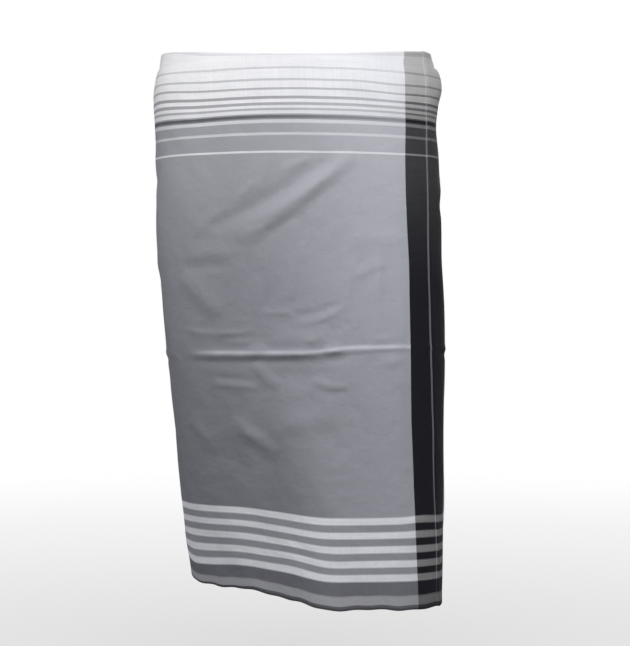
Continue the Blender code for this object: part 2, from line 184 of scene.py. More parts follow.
BACK_FOLDS = (
    Fold(-0.170, 0.200, -0.080, 0.245, 0.030, 0.250, 0.024, 0.0040),
    Fold(-0.150, 0.250, -0.060, 0.290, 0.050, 0.300, 0.020, -0.0030),
    Fold(-0.185, 0.5150, 0.000, 0.5150, 0.195, 0.5085, 0.0075, 0.0036),
    Fold(-0.185, 0.5265, 0.000, 0.5265, 0.195, 0.5200, 0.0080, -0.0018),
    Fold(0.150, 0.560, 0.100, 0.640, 0.060, 0.760, 0.022, 0.0032),
    Fold(-0.140, 0.620, -0.110, 0.720, -0.100, 0.860, 0.024, -0.0034),
    # finer folds along and beside them
    Fold(-0.166, 0.203, -0.078, 0.240, 0.028, 0.246, 0.010, 0.0013),
    Fold(-0.178, 0.168, -0.120, 0.190, -0.050, 0.196, 0.011, -0.0013),
    Fold(-0.100, 0.306, -0.020, 0.330, 0.050, 0.325, 0.012, 0.0014),
    Fold(-0.185, 0.5120, -0.060, 0.5120, 0.050, 0.5090, 0.0045, 0.0010),
    Fold(0.040, 0.5095, 0.110, 0.5080, 0.195, 0.5060, 0.0045, 0.0009),
    Fold(-0.120, 0.5210, -0.040, 0.5225, 0.060, 0.5200, 0.0055, -0.0013),
    Fold(-0.090, 0.4700, -0.050, 0.4690, -0.010, 0.4710, 0.0050, 0.0010),
    Fold(-0.085, 0.4805, -0.050, 0.4800, -0.015, 0.4800, 0.0060, -0.0011),
    Fold(0.030, 0.5540, 0.070, 0.5580, 0.115, 0.5570, 0.0050, 0.0011),
    Fold(0.040, 0.5650, 0.070, 0.5680, 0.110, 0.5670, 0.0060, -0.0011),
    Fold(-0.060, 0.4020, -0.010, 0.4180, 0.060, 0.3980, 0.0100, 0.0016),
    Fold(-0.050, 0.4200, 0.000, 0.4340, 0.066, 0.4150, 0.0090, -0.0014),
    Fold(0.140, 0.575, 0.100, 0.645, 0.066, 0.740, 0.0090, 0.0013),
    Fold(0.020, 0.640, 0.030, 0.740, 0.020, 0.850, 0.0160, 0.0014),
    Fold(-0.060, 0.620, -0.045, 0.740, -0.050, 0.880, 0.0150, -0.0013),
    Fold(-0.030, 0.100, -0.026, 0.150, -0.028, 0.205, 0.0070, -0.0007),
    Fold(0.060, 0.090, 0.064, 0.160, 0.060, 0.230, 0.0090, 0.0008),
)

# Folds round the two sides, placed by the distance round the tube
SIDE_FOLDS = (
    Fold(0.520, 0.150, 0.575, 0.190, 0.640, 0.205, 0.016, 0.0018),
    Fold(0.505, 0.185, 0.570, 0.225, 0.640, 0.238, 0.015, -0.0017),
    Fold(0.510, 0.335, 0.560, 0.375, 0.625, 0.380, 0.014, 0.0018),
    Fold(0.520, 0.368, 0.565, 0.402, 0.620, 0.410, 0.013, -0.0017),
    Fold(0.460, 0.5150, 0.570, 0.5150, 0.690, 0.5150, 0.0070, 0.0015),
    Fold(0.505, 0.5240, 0.570, 0.5260, 0.640, 0.5240, 0.0060, -0.0014),
    Fold(0.545, 0.560, 0.560, 0.680, 0.552, 0.820, 0.018, 0.0022),
    Fold(0.585, 0.600, 0.596, 0.720, 0.592, 0.900, 0.017, -0.0022),
    Fold(0.635, 0.640, 0.640, 0.760, 0.632, 0.930, 0.018, 0.0020),
    Fold(0.500, 0.660, 0.510, 0.760, 0.508, 0.900, 0.016, -0.0018),
    Fold(-0.110, 0.200, -0.070, 0.226, -0.020, 0.236, 0.014, 0.0015),
    Fold(-0.110, 0.232, -0.070, 0.256, -0.022, 0.262, 0.013, -0.0014),
    Fold(-0.150, 0.5100, -0.070, 0.5065, 0.030, 0.5020, 0.0060, 0.0013),
    Fold(-0.125, 0.5200, -0.070, 0.5175, -0.010, 0.5110, 0.0060, -0.0012),
    Fold(-0.090, 0.540, -0.084, 0.680, -0.088, 0.860, 0.016, 0.0016),
    Fold(-0.125, 0.600, -0.118, 0.740, -0.122, 0.920, 0.016, -0.0016),
)
FACING = (0.20, 0.70)
FOLD_START = 0.050
FOLD_POINTS = 12
HEM_WAVE = 0.0025
HEM_WAVES = 7
HEM_WAVE_START = 0.62
HEM_RAGGED = ((53.0, 1.0, 0.0011), (127.0, 0.0, 0.0008))     # radians to a metre, phase and height
RAGGED_START = 0.90

# Slow unevenness of the whole cloth: waves round the tube, waves down it, phase and height
UNEVEN = (
    (5, 2.2, 0.4, 0.00050), (9, 3.7, 2.1, 0.00038), (14, 1.3, 4.0, 0.00030), (6, 7.5, 1.2, 0.00030),
    (21, 4.9, 5.3, 0.00018), (17, 9.1, 3.3, 0.00016), (31, 6.3, 0.9, 0.00011), (26, 14.0, 2.7, 0.00010),
)

# Rows of the cloth: the lower end of each stretch of the drop, and the spacing of its rows
ROW_RUNS = (
    (0.016, 0.0040), (0.060, 0.0063), (0.160, 0.0072), (0.315, 0.0058), (0.410, 0.0070), (0.436, 0.0045),
    (0.496, 0.0032), (0.540, 0.0025), (0.580, 0.0031), (0.690, 0.0062), (0.900, 0.0085), (DROP, 0.0053),
)
TURN_STEPS = 8
INNER_ROWS = 7

# Facets along the cloth
FRONT_PITCH = 0.0046
BAND_PITCH = 0.0056
OUTER_FACETS = 62
FOLD_STEPS = 6
MIDDLE_FACETS = 12
INNER_FACETS = 20
RIGHT_FACETS = 14

# Threads that run round the tube, from each drop on: how white they are, and how much of the face they
# cover, on the grey field and on the black band
Thread = namedtuple("Thread", "drop white cover band_cover")
WAIST_THREADS = (
    Thread(-0.0700, 1.00, 0.54, 0.57), Thread(-0.0016, 0.80, 0.54, 0.57), Thread(0.0008, 1.00, 0.54, 0.57),
    Thread(0.0225, 0.66, 0.54, 0.57), Thread(0.0262, 1.00, 0.54, 0.57),
    Thread(0.0430, 0.54, 0.54, 0.57), Thread(0.0468, 1.00, 0.54, 0.57),
    Thread(0.0588, 0.40, 0.54, 0.57), Thread(0.0632, 1.00, 0.54, 0.57),
    Thread(0.0730, 0.28, 0.54, 0.55), Thread(0.0778, 1.00, 0.54, 0.50),
    Thread(0.0846, 0.32, 0.54, 0.50), Thread(0.0888, 0.96, 0.54, 0.48),
    Thread(0.0942, 0.38, 0.54, 0.44), Thread(0.0982, 0.90, 0.54, 0.42),
    Thread(0.1034, 0.30, 0.58, 0.34), Thread(0.1056, 0.00, 0.63, 0.34), Thread(0.1116, 0.16, 0.58, 0.33),
    Thread(0.1138, 0.70, 0.46, 0.33), Thread(0.1192, 0.12, 0.44, 0.33), Thread(0.1214, 0.07, 0.44, 0.33),
    Thread(0.1348, 0.62, 0.44, 0.33), Thread(0.1396, 0.07, 0.44, 0.33),
    Thread(0.1664, 0.86, 0.44, 0.33), Thread(0.1703, 0.00, 0.44, 0.33),
)
WAIST_SPAN = (-0.07, 0.24)
MIDDLE_DROP = 0.5        # the waist's rows hold above this, and the hem's below it
HEM_SPAN = (0.77, 0.95)
FADING = 0.16            # share of white that fades out below the waist
FADING_DROP = (0.42, 0.12)
FADING_START = 0.1125
STRIPE_START = 0.7936    # first of the five white stripes above the hem
STRIPE_PITCH = 0.0243
STRIPE_WIDTH = 0.0118
STRIPE_EDGE = 0.0014     # the few threads of grey along each side of a stripe
STRIPES = 5
HEM_THREADS = (
    Thread(0.7700, 0.00, 0.44, 0.33),
    *(row for k in range(STRIPES) for row in (
        Thread(STRIPE_START + k * STRIPE_PITCH, 0.45, 0.55, 0.30),
        Thread(STRIPE_START + k * STRIPE_PITCH + STRIPE_EDGE, 1.00, 0.50, 0.30),
        Thread(STRIPE_START + k * STRIPE_PITCH + STRIPE_WIDTH, 0.45, 0.55, 0.30),
        Thread(STRIPE_START + k * STRIPE_PITCH + STRIPE_WIDTH + STRIPE_EDGE, 0.00, 0.60, 0.40))),
    Thread(0.9048, 0.00, 0.79, 0.86), Thread(0.9250, 0.18, 0.74, 0.72), Thread(0.9272, 0.28, 0.73, 0.72),
    Thread(0.9400, 0.04, 0.88, 0.88),
)
PALE_LINE = 0.0029       # half width of the pale line down the black band
PALE_SHARE = 0.30
PALE_PLACE = 0.0024      # its middle, round from the seam

# The band's front edge lies this far askew over two stretches of the drop: one that starts and ends
# above the middle, and one from below the middle on
SKEW = 0.0055
SKEW_UPPER = (0.02, 0.12)
SKEW_UPPER_END = (0.40, 0.20)
SKEW_LOWER = (0.50, 0.66)

# Painted shade on the field: its colour darkens away from the band and down the cloth, by letting more of
# the black thread show, and most below a slanting edge, standing in for shade where the cloth turns from the
# light. None of this reaches the stripes above the hem.
PAINTED_SHADE = 0.230
PAINTED_SHADE_ROUND = (0.04, 0.38)
PAINTED_SHADE_BACK = (1.00, 0.60)
PAINTED_SHADE_LOW = 0.090
PAINTED_SHADE_LOW_ROUND = (0.34, 0.10)
PAINTED_SHADE_SLANT = 0.090
PAINTED_SHADE_SLANT_DROP = (0.34, 0.62)
PAINTED_SHADE_SLANT_EDGE = (0.395, 0.430, -0.530)    # distance round at a drop, and its change with the drop
PAINTED_SHADE_SLANT_SOFTNESS = 0.055
PAINTED_SHADE_SLANT_LEFT = (0.285, 0.330)
LEFT_SHARE = 0.5         # the share of it that is missing further left
PAINTED_SHADE_END = (0.7950, 0.7930)

# The pressed crease shows paler, partly a painted highlight where its ridge catches the light and partly
# wear: its drop at the left and beside the band, and half its width
WORN_HIGHLIGHT_DROP = (0.5118, 0.5017)
WORN_HIGHLIGHT_ROUND = (0.235, 0.130)
WORN_HIGHLIGHT_WIDTH = 0.0060
WORN_HIGHLIGHT_SHARE = 0.22
WORN_HIGHLIGHT_LEFT = (0.440, 0.370)
PATCH_PACE = 30.0
PATCHY = (0.15, 0.50)

# Places where the threads stray from level: middle in X and drop, reach in both, and how far down
Stray = namedtuple("Stray", "x drop reach_x reach_drop down")
STRAYS = (
    Stray(0.000, 0.880, 0.040, 0.035, -0.0042), Stray(-0.190, 0.915, 0.070, 0.045, 0.0068),
    Stray(-0.100, 0.940, 0.035, 0.020, 0.0030), Stray(0.215, 0.795, 0.030, 0.030, -0.0032),
    Stray(0.170, 0.055, 0.040, 0.020, 0.0028), Stray(-0.190, 0.115, 0.060, 0.025, 0.0020),
    Stray(0.070, 0.870, 0.030, 0.030, 0.0010), Stray(-0.245, 0.050, 0.060, 0.050, -0.0085),
)
STRAY_FACING = (-0.2, 0.5)
# and how all of them wander: changes to a metre round the tube and down it, and how far
Wander = namedtuple("Wander", "pace_round pace_drop reach")
WANDER_DROP = Wander(6.0, 1.5, 0.0030)
WANDER_ROUND = Wander(1.5, 7.0, 0.0012)

# Yarns: those that run round the tube, and those that run down it
ROUND_WHITE = (0.855, 0.850, 0.850)
ROUND_BLACK = (0.0137, 0.0137, 0.0200)
DOWN_WHITE = (0.795, 0.805, 0.885)
DOWN_BLACK = (0.0120, 0.0115, 0.0160)
WEAVE_PITCH = 0.00105    # two threads
WEAVE_SHOWS = 0.16       # how much each thread on top shows in the colour
STREAK_LONG = 9.0        # streaks of uneven yarn to a metre, along the threads and across them
STREAK_FINE = 520.0
ROUND_UNEVEN = 0.24
DOWN_UNEVEN = 0.20
CLOUDY = 0.16
CLOUD_PACE = 9.0
WEAVE_RELIEF = 0.00006
ROUND_RELIEF = 0.00012
DOWN_RELIEF = 0.00010
RUMPLE_RELIEF = 0.0022
RUMPLE_PACE = 42.0
THREAD_DARK = (0.012, 0.012, 0.014, 1.0)
THREAD_PALE = (0.045, 0.045, 0.052, 1.0)
TWIST_PACE = 2600.0

# Studio
CAMERA_PLACE = (0.0336, -3.900, -0.4215)
CAMERA_PITCH = 0.5976    # degrees down
LENS = 126.0             # millimetres, on a 36 mm wide sensor
FLOOR = -1.030
FLAT_RADIUS = 6.5        # the floor is flat this far out, and then curves up
BEND_RADIUS = 2.5
BEND_STEPS = 12
WALL_HEIGHTS = (5.0, 9.0)
SWEEP_STEPS = 96
PAPER_REACH = 5.0        # the paper is white beyond this
# painted light: the paper's own glow, graded from pale grey near the middle to white
PAPER_GLOW_SHADES = (         # radius and shade
    (0.0, 0.711), (0.456, 0.766), (0.89, 0.807), (1.26, 0.838), (1.69, 0.870), (2.20, 0.900),
    (2.81, 0.945), (3.30, 0.978), (3.90, 1.0),
)
SoftBox = namedtuple("SoftBox", "name place aim size power")
SOFT_BOXES = (
    SoftBox("key_soft_box", (0.45, -2.3, 1.55), (0.0, 0.0, -0.35), 1.2, 47.0),
    SoftBox("left_soft_box", (-2.4, -1.5, 0.5), (0.0, 0.0, -0.4), 1.6, 36.0),
    SoftBox("right_soft_box", (2.4, -2.0, 0.8), (0.0, 0.0, -0.4), 1.6, 20.0),
    SoftBox("back_soft_box", (0.5, 2.7, 1.3), (0.0, 0.0, -0.4), 1.8, 68.0),
)
SKY = (0.93, 0.95, 1.0, 1.0)
SKY_STRENGTH = 0.165


def smooth_step(value, start, end):
    """Rise from 0 at start to 1 at end, level at both."""
    t = np.clip((np.asarray(value, dtype=float) - start) / (end - start), 0.0, 1.0)
    return t * t * (3.0 - 2.0 * t)


def section_value(name, drop):
    """Read one column of the section table on a smooth curve through its rows."""
    drops = [row.drop for row in SECTIONS]
    values = [getattr(row, name) for row in SECTIONS]
    drop = min(max(drop, drops[0]), drops[-1])
    i = max(k for k in range(len(drops) - 1) if drops[k] <= drop)
    step = drops[i + 1] - drops[i]
    t = (drop - drops[i]) / step

    def slope(k):
        low, high = max(k - 1, 0), min(k + 1, len(drops) - 1)
        return (values[high] - values[low]) / (drops[high] - drops[low]) * step

    rise = values[i + 1] - values[i]
    a = slope(i) - rise
    b = rise - slope(i + 1)
    return values[i] + t * rise + t * (1.0 - t) * (a * (1.0 - t) + b * t)


def set_back_share(x, left):
    """How much of the set-back a point takes: none right of the ridge, all at the left side."""
    t = (STEP_EDGE - x) / (STEP_EDGE + left)
    t = 0.5 * (t + np.sqrt(t * t + STEP_SOFTNESS * STEP_SOFTNESS))
    return (1.0 - np.exp(-STEP_CURVE * t)) / (1.0 - math.exp(-STEP_CURVE))


class Plan:
    """Outline of the tube at one drop, walked from the seam across the front."""

    steps = 240
    reach = 0.004

    def __init__(self, drop):
        self.left = section_value("left", drop)
        self.right = section_value("right", drop)
        front = section_value("front", drop)
        back = section_value("back", drop)
        set_back = section_value("set_back", drop)
        seam_x = section_value("seam", drop)
        quarters = (
            (CORNERS["front_right"], self.right, -front, False),
            (CORNERS["front_left"], -self.left, -front, True),
            (CORNERS["back_left"], -self.left, back, False),
            (CORNERS["back_right"], self.right, back, True),
        )
        outline = []
        for squareness, side, depth, leaving_middle in quarters:
            turn = np.arange(self.steps) / self.steps
            turn = 0.5 * math.pi * (1.0 - turn if leaving_middle else turn)
            x = side * np.abs(np.cos(turn)) ** (2.0 / squareness)
            y = depth * np.abs(np.sin(turn)) ** (2.0 / squareness)
            level = 0.5 - 0.5 * y / abs(depth)
            share = BACK_SHARE + (1.0 - BACK_SHARE) * level
            y = y + share * set_back * set_back_share(x, self.left)
            outline.append(np.column_stack([x, y]))
        outline = np.concatenate(outline)
        first = int(np.argmax(outline[:, 0] <= seam_x))
        (x1, y1), (x2, y2) = outline[first - 1], outline[first]
        seam = np.array([[seam_x, y1 + (y2 - y1) * (x1 - seam_x) / (x1 - x2)]])
        self.outline = np.concatenate([seam, outline[first:], outline[:first], seam])
        runs = np.hypot(*np.diff(self.outline, axis=0).T)
        self.along = np.concatenate([[0.0], np.cumsum(runs)])
        self.length = float(self.along[-1])

    def point(self, distance):
        """Where the outline is after a distance from the seam."""
        distance = np.mod(distance, self.length)
        return np.column_stack([np.interp(distance, self.along, self.outline[:, k]) for k in (0, 1)])

    def outward(self, distance):
        """Direction that points out of the tube there."""
        step = self.point(distance + self.reach) - self.point(distance - self.reach)
        return np.column_stack([-step[:, 1], step[:, 0]]) / np.hypot(*step.T)[:, None]


def fold_height(folds, across, drop):
    """Sum of the ridges and troughs at points of the cloth."""
    total = np.zeros_like(across)
    place = np.column_stack([across, drop])
    for fold in folds:
        t = np.linspace(0.0, 1.0, FOLD_POINTS + 1)
        a, b, c = (1.0 - t) * (1.0 - 2.0 * t), 4.0 * t * (1.0 - t), t * (2.0 * t - 1.0)
        line = np.column_stack([a * fold.x1 + b * fold.mid_x + c * fold.x2,
                                a * fold.drop1 + b * fold.mid_drop + c * fold.drop2])
        reach = 3.0 * fold.width
        near = np.all((place > line.min(axis=0) - reach) & (place < line.max(axis=0) + reach), axis=1)
        if not near.any():
            continue
        step = np.diff(line, axis=0)
        away = place[near][:, None, :] - line[None, :-1, :]
        share = np.clip((away * step).sum(axis=2) / (step * step).sum(axis=1), 0.0, 1.0)
        distance = np.linalg.norm(away - share[:, :, None] * step, axis=2)
        nearest = distance.argmin(axis=1)
        rows = np.arange(len(nearest))
        along = (nearest + share[rows, nearest]) / FOLD_POINTS
        fade = 1.0 - (2.0 * along - 1.0) ** 4
        total[near] += fold.height * fade * np.exp(-(distance[rows, nearest] / fold.width) ** 2)
    return total


def relief(x, outward, drop, distance, length):
    """How far the cloth stands off its plain form."""
    faces_front = smooth_step(-outward[:, 1], *FACING)
    faces_back = smooth_step(outward[:, 1], *FACING)
    total = faces_front * fold_height(FRONT_FOLDS, x, drop)
    total += faces_back * fold_height(BACK_FOLDS, x, drop)
    round_place = np.where(distance > 0.5 * (length + LEFT_SIDE), distance - length, distance)
    total += fold_height(SIDE_FOLDS, round_place, drop)
    turn = 2.0 * math.pi * distance / length
    for waves_round, waves_down, phase, height in UNEVEN:
        total += height * np.sin(waves_round * turn + phase
                                 + 2.0 * math.pi * waves_down * drop + 1.7 * np.sin(3.1 * drop + phase))
    total *= smooth_step(drop, TURN_DEPTH, TURN_DEPTH + FOLD_START)
    wave = HEM_WAVE * smooth_step(drop, HEM_WAVE_START, DROP)
    return total + wave * np.sin(HEM_WAVES * turn)


def side_share(place, plan):
    """0 at the middle of the front, 1 at the sides and over the back."""
    x, y = place.T
    share = np.minimum(x / np.where(x > 0.0, plan.right, plan.left), 1.0) ** 2
    return np.where(y > 0.0, 1.0, share)


def lift(x, drop, distance):
    """How far the cloth is drawn up on the left."""
    left = 1.0 - smooth_step(x, *LIFT_X)
    corner = left * smooth_step(distance, LEFT_SIDE - CORNER_RUN, LEFT_SIDE)
    return (LEFT_LIFT * left * smooth_step(drop, LIFT_START, DROP)
            + CORNER_LIFT * corner * smooth_step(drop, CORNER_START, DROP)
            - RIGHT_FALL * smooth_step(x, *FALL_X) * smooth_step(drop, FALL_START, DROP))


def cloth_points(plan, drop, distance, layer, turned=None):
    """Points of the cloth's middle surface along one row.

    layer is how far each lies outside the innermost layer of the lap. turned is None on the outside,
    an angle over the waist edge, or a distance down the turned-in cloth given as a negative number.
    """
    base = plan.point(distance)
    outward = plan.outward(distance)
    side = side_share(base, plan)
    edge = SIDE_RISE * side - TURN_RADIUS
    if turned is None:
        sag = SIDE_SAG * side * (1.0 - smooth_step(drop, 0.0, SAG_REACH))
        home = np.mod(distance, plan.length)
        off = layer + relief(base[:, 0], outward, np.full_like(home, drop), home, plan.length)
        height = -drop - sag + lift(base[:, 0], drop, distance)
        ragged = sum(size * np.sin(pace * distance + phase) for pace, phase, size in HEM_RAGGED)
        height = height + ragged * smooth_step(drop, RAGGED_START, DROP)
    elif turned >= 0.0:
        radius = layer + TURN_RADIUS
        off = radius * math.cos(turned) - TURN_RADIUS
        height = edge + radius * math.sin(turned)
    else:
        off = -layer - 2.0 * TURN_RADIUS
        height = edge + turned
    return np.column_stack([base + off[:, None] * outward, height])


def stray(x, drop, outward):
    """How far below level the threads lie on the front."""
    down = np.zeros_like(x)
    for place in STRAYS:
        away = ((x - place.x) / place.reach_x) ** 2 + ((drop - place.drop) / place.reach_drop) ** 2
        down += place.down * np.exp(-away)
    return down * smooth_step(-outward[:, 1], *STRAY_FACING)


def cloth_rows():
    """Every row from the hem to the turned-in edge: its drop, its place in the turn, and its thread."""
    drops, top = [], 0.0
    for bottom, pitch in ROW_RUNS:
        count = max(1, round((bottom - top) / pitch))
        drops += [top + (bottom - top) * k / count for k in range(1, count + 1)]
        top = bottom
    rows = [(drop, None, drop) for drop in reversed(drops)]
    for k in range(TURN_STEPS + 1):
        angle = math.pi * k / TURN_STEPS
        rows.append((0.0, angle, -TURN_RADIUS * angle))
    for k in range(1, INNER_ROWS + 1):
        down = TURN_DEPTH * k / INNER_ROWS
        rows.append((0.0, -down, -TURN_RADIUS * math.pi - down))
    return rows


def even_places(start, end, count):
    """Places from start to end, both included."""
    return [start + (end - start) * k / count for k in range(count + 1)]


def cloth_columns(plan):
    """Every column of the cloth at one drop, as distance round the tube, layer and thread.

    The front panel's edge starts just under the seam and the back panel's edge ends just over it. In
    between come the front, the left side, the outer layer of the back, the visible fold of the lap,
    its middle layer, its inner fold and its inner layer.
    """
    depth = 0.5 * (GIRTH - plan.length)
    fold = plan.length - LAP_FOLD
    inner_fold = fold - depth
    clear = inner_fold - LAP_CLEAR
    columns = [(place, layer, place) for place, layer in UNDER_EDGE]
    start = UNDER_EDGE[-1][0]
    count = round((BAND_FRONT - start) / BAND_PITCH)
    columns += [(place, 0.0, place) for place in even_places(start, BAND_FRONT, count)[1:]]
    count = round((LEFT_SIDE - BAND_FRONT) / FRONT_PITCH)
    columns += [(place, 0.0, place) for place in even_places(BAND_FRONT, LEFT_SIDE, count)[1:]]
    for place in even_places(LEFT_SIDE, fold, OUTER_FACETS)[1:]:
        layer = 2.0 * LAP_PITCH * float(smooth_step(place, LEFT_SIDE + LAP_START, clear))
        columns.append((place, layer, place))
    for k in range(1, FOLD_STEPS):
        angle = math.pi * k / FOLD_STEPS
        columns.append((fold + 0.5 * LAP_PITCH * math.sin(angle),
                        LAP_PITCH * (1.5 + 0.5 * math.cos(angle)), fold))
    for place in even_places(fold, inner_fold, MIDDLE_FACETS):
        columns.append((place, LAP_PITCH, 2.0 * fold - place))
    for k in range(1, FOLD_STEPS):
        angle = math.pi * k / FOLD_STEPS
        columns.append((inner_fold - 0.5 * LAP_PITCH * math.sin(angle),
                        LAP_PITCH * (0.5 + 0.5 * math.cos(angle)), fold + depth))
    for place in even_places(inner_fold, fold, INNER_FACETS):
        columns.append((place, 0.0, place + 2.0 * depth))
    for place in even_places(fold, plan.length + OVER_START, RIGHT_FACETS)[1:]:
        columns.append((place, 0.0, place + 2.0 * depth))
    for place in OVER_EDGE:
        over = SEAM_STEP * float(smooth_step(place, *OVER_RISE))
        columns.append((plan.length + place, over, GIRTH + place))
    return columns


def finish_mesh(name, shape, material):
    """Turn a finished bmesh into a piece that rides on the garment."""
    mesh = bpy.data.meshes.new(name)
    shape.to_mesh(mesh)
    shape.free()
    mesh.shade_smooth()
    mesh.materials.append(material)
    piece = bpy.data.objects.new(name, mesh)
    bpy.context.collection.objects.link(piece)
    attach(piece, "root")
    return piece


def lay_sheet(name, places, threads, thickness, material):
    """A sheet of cloth: a grid of points with the place of their threads, given its thickness."""
    down, across = len(places) - 1, len(places[0]) - 1
    grid = bmesh.new()
    bmesh.ops.create_grid(grid, x_segments=across, y_segments=down, size=1.0)
    thread_at = {}
    for vert in grid.verts:
        i = round(0.5 * (1.0 - vert.co.x) * across)
        j = round(0.5 * (vert.co.y + 1.0) * down)
        vert.co = places[j][i]
        thread_at[vert.index] = threads[j][i]
    weave = grid.loops.layers.uv.new("threads")
    for face in grid.faces:
        for loop in face.loops:
            loop[weave].uv = thread_at[loop.vert.index]
    sheet = finish_mesh(name, grid, material)
    solid = sheet.modifiers.new("cloth", "SOLIDIFY")
    solid.thickness = thickness
    solid.offset = 0.0
    return sheet, solid


def hang_cloth(material):
    """The whole cloth in one piece, laid out on the tube."""
    places, threads = [], []
    for drop, turned, thread in cloth_rows():
        plan = Plan(drop)
        distance, layer, round_thread = np.array(cloth_columns(plan)).T
        places.append(cloth_points(plan, drop, distance, layer, turned))
        strays = stray(plan.point(distance)[:, 0], drop, plan.outward(distance))
        threads.append(np.column_stack([round_thread, thread - strays]))
    cloth, solid = lay_sheet("longyi_cloth", places, threads, CLOTH, material)
    solid.use_even_offset = True
    return cloth


def fell_seam(material):
    """The felled allowance inside the tube, folded flat over the joint."""
    across, behind = np.array(STRIP).T
    places, threads = [], []
    for drop, turned, thread in [row for row in cloth_rows() if row[1] is None][::2]:
        places.append(cloth_points(Plan(drop), drop, across, behind))
        threads.append([(place + STRIP_SHIFT, thread) for place in across])
    strip, solid = lay_sheet("felled_seam", places, threads, 0.5 * CLOTH, material)
    return strip


def sew_seam(material):
    """One row of small stitches down the seam, through the felled allowance."""
    sewing = bmesh.new()
    count = int((DROP - 2.0 * STITCH_START) / STITCH_PITCH)
    for k in range(count):
        drop = STITCH_START + k * STITCH_PITCH
        ends = []
        for place in (drop, drop + STITCH_LENGTH):
            plan = Plan(place)
            ends.append(cloth_points(plan, place, np.array([STITCH_ROUND]),
                                     np.array([SEAM_STEP + 0.5 * CLOTH + 0.10 * STITCH_THICK]))[0])
        outward = Plan(drop).outward(np.array([STITCH_ROUND]))[0]
        down = ends[1] - ends[0]
        length = float(np.linalg.norm(down))
        down = down / length
        out = np.array([outward[0], outward[1], 0.0])
        out = out - down * float(out @ down)
        out = out / np.linalg.norm(out)
        side = np.cross(down, out)
        middle = 0.5 * (ends[0] + ends[1])
        made = bmesh.ops.create_uvsphere(sewing, u_segments=6, v_segments=5, radius=0.5)
        for vert in made["verts"]:
            x, y, z = vert.co
            vert.co = middle + side * (x * STITCH_THICK) + out * (y * STITCH_THICK) + down * (z * length)
    bmesh.ops.recalc_face_normals(sewing, faces=sewing.faces)
    return finish_mesh("seam_stitches", sewing, material)


class Nodes:
    """Short hand for building a material's nodes."""

    def __init__(self, name):
        self.material = bpy.data.materials.new(name)
        self.material.use_nodes = True
        self.tree = self.material.node_tree
        self.shader = self.tree.nodes["Principled BSDF"]

    def new(self, kind, **settings):
        node = self.tree.nodes.new(kind)
        for key, value in settings.items():
            setattr(node, key, value)
        return node

    def feed(self, socket, value):
        if isinstance(value, bpy.types.NodeSocket):
            self.tree.links.new(value, socket)
        else:
            socket.default_value = value

    def maths(self, operation, *values):
        node = self.new("ShaderNodeMath", operation=operation)
        for socket, value in zip(node.inputs, values):
            self.feed(socket, value)
        return node.outputs[0]

    def mix_number(self, share, low, high):
        node = self.new("ShaderNodeMix", data_type="FLOAT")
        for socket, value in zip((node.inputs[0], node.inputs[2], node.inputs[3]), (share, low, high)):
            self.feed(socket, value)
        return node.outputs[0]

    def mix_colour(self, share, low, high, blend="MIX"):
        node = self.new("ShaderNodeMix", data_type="RGBA", blend_type=blend)
        for socket, value in zip((node.inputs[0], node.inputs[6], node.inputs[7]), (share, low, high)):
            self.feed(socket, value)
        return node.outputs[2]

    def join(self, x, y, z=0.0):
        node = self.new("ShaderNodeCombineXYZ")
        for socket, value in zip(node.inputs, (x, y, z)):
            self.feed(socket, value)
        return node.outputs[0]

    def noise(self, vector, scale, detail=2.0, roughness=0.5):
        node = self.new("ShaderNodeTexNoise")
        self.feed(node.inputs["Vector"], vector)
        node.inputs["Scale"].default_value = scale
        node.inputs["Detail"].default_value = detail
        node.inputs["Roughness"].default_value = roughness
        return node.outputs["Fac"]

    def rise(self, value, start, end):
        """A number that goes smoothly from 0 at start to 1 at end."""
        node = self.new("ShaderNodeMapRange", interpolation_type="SMOOTHSTEP")
        self.feed(node.inputs["Value"], value)
        node.inputs["From Min"].default_value = start
        node.inputs["From Max"].default_value = end
        return node.outputs[0]

    def steps(self, value, stops, start, end):
        """A number that changes at each stop: stops are (place, number) with numbers from 0 to 1."""
        spread = self.new("ShaderNodeMapRange")
        self.feed(spread.inputs["Value"], value)
        spread.inputs["From Min"].default_value = start
        spread.inputs["From Max"].default_value = end
        ramp = self.new("ShaderNodeValToRGB")
        self.tree.links.new(spread.outputs[0], ramp.inputs[0])
        band = ramp.color_ramp
        band.interpolation = "CONSTANT"
        while len(band.elements) > 1:
            band.elements.remove(band.elements[-1])
        for k, (place, number) in enumerate(stops):
            position = (place - start) / (end - start)
            stop = band.elements[0] if k == 0 else band.elements.new(position)
            stop.position = position
            stop.color = (number, number, number, 1.0)
        return ramp.outputs["Color"]


